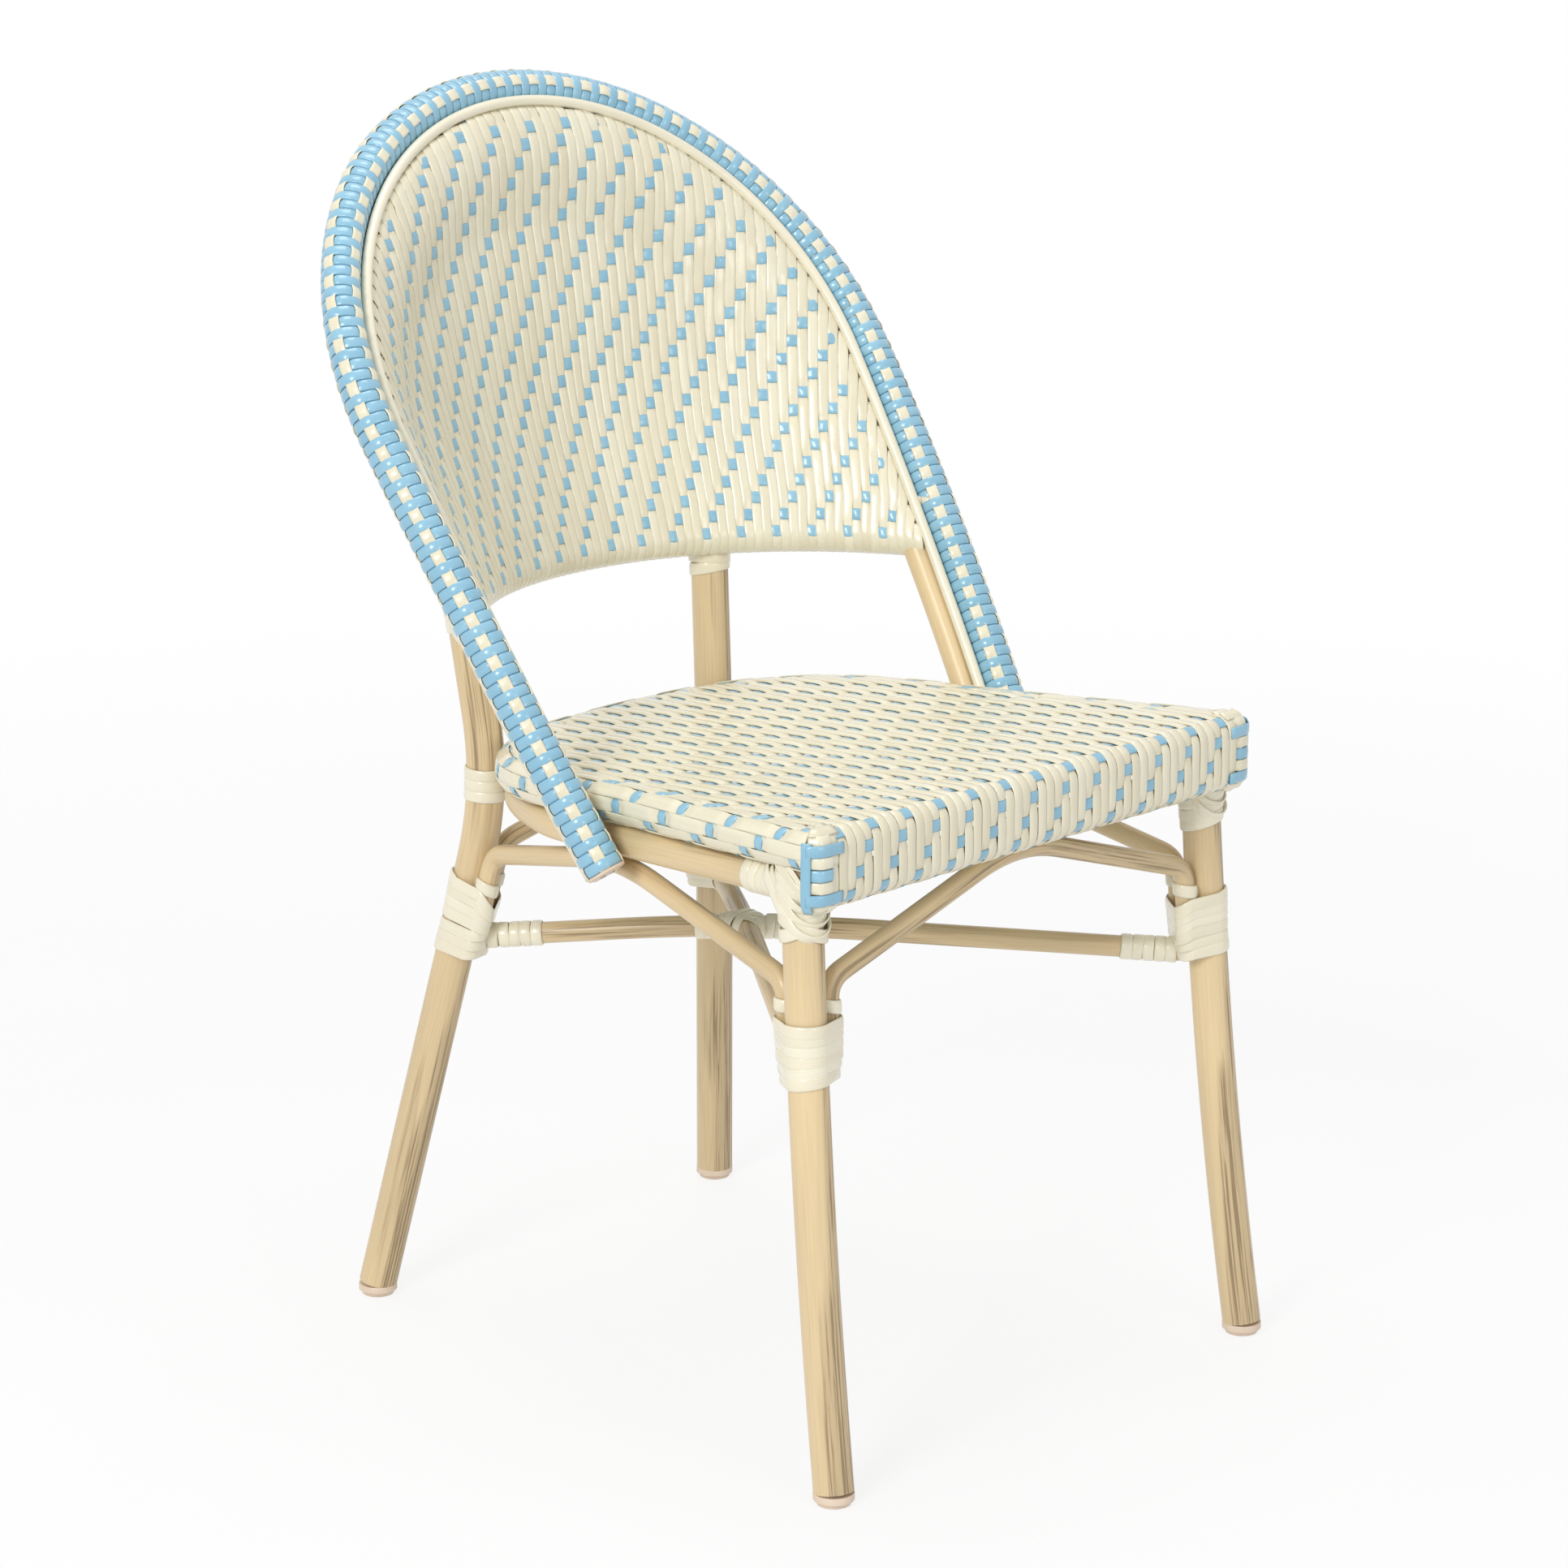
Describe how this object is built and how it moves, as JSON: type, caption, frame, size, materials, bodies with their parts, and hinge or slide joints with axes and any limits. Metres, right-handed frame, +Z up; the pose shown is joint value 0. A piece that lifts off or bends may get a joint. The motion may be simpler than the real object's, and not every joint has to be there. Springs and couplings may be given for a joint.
{
  "type": "bistro chair",
  "caption": "Armless bistro dining chair with a tan bamboo-look tube frame, a rounded arch back and a woven blue and cream seat and back.",
  "frame": {"origin": "on the floor, under the middle of the chair's bounding box", "axes": "+Z up, -Y the way the sitter faces, +X the sitter's left"},
  "size_m": [0.5096, 0.5756, 0.8734],
  "materials": {
    "tan_painted_tube": "semi-gloss bamboo-look paint with dark brushed streaks",
    "blue_and_cream_weave": "glossy flat strands, cream with light blue",
    "cream_strip": "glossy strip",
    "cap_plastic": "satin",
    "screw_steel": "satin"
  },
  "bodies": {
    "root": {"seat_frame_bow": "tan_painted_tube", "seat_frame_front_bar": "tan_painted_tube", "seat_lower_rail": "tan_painted_tube", "seat_front_rail": "tan_painted_tube", "seat_weave": "blue_and_cream_weave", "front_left_leg": "tan_painted_tube", "front_left_foot_cap": "cap_plastic", "front_right_leg": "tan_painted_tube", "front_right_foot_cap": "cap_plastic", "rear_left_leg": "tan_painted_tube", "rear_left_foot_cap": "cap_plastic", "rear_right_leg": "tan_painted_tube", "rear_right_foot_cap": "cap_plastic", "back_arch_inner_tube": "tan_painted_tube", "back_arch_outer_tube": "tan_painted_tube", "back_arch_braid": "blue_and_cream_weave", "back_arch_front_piping": "cream_strip", "back_arch_rear_piping": "cream_strip", "back_lower_rail": "tan_painted_tube", "back_weave": "blue_and_cream_weave", "left_inner_tube_plug": "cap_plastic", "left_braided_tube_plug": "cap_plastic", "left_braid_screw_1": "screw_steel", "left_braid_screw_2": "screw_steel", "right_inner_tube_plug": "cap_plastic", "right_braided_tube_plug": "cap_plastic", "right_braid_screw_1": "screw_steel", "right_braid_screw_2": "screw_steel", "left_side_brace": "tan_painted_tube", "right_side_brace": "tan_painted_tube", "front_brace": "tan_painted_tube", "rear_brace": "tan_painted_tube", "long_stretcher": "tan_painted_tube", "rear_half_stretcher": "tan_painted_tube", "front_half_stretcher": "tan_painted_tube", "front_left_leg_lashing": "cream_strip", "front_right_leg_lashing": "cream_strip", "rear_left_leg_lashing": "cream_strip", "rear_right_leg_lashing": "cream_strip", "rear_right_stretcher_lashing": "cream_strip", "front_left_stretcher_lashing": "cream_strip", "rear_left_stretcher_lashing": "cream_strip", "front_right_stretcher_lashing": "cream_strip", "crossing_rear_lashing": "cream_strip", "crossing_front_lashing": "cream_strip", "front_left_corner_lashing": "cream_strip", "left_rail_lashing": "cream_strip", "left_back_rail_lashing": "cream_strip", "front_right_corner_lashing": "cream_strip", "right_rail_lashing": "cream_strip", "right_back_rail_lashing": "cream_strip", "rear_left_seat_strap": "cream_strip", "rear_right_seat_strap": "cream_strip"}
  },
  "joints": []
}
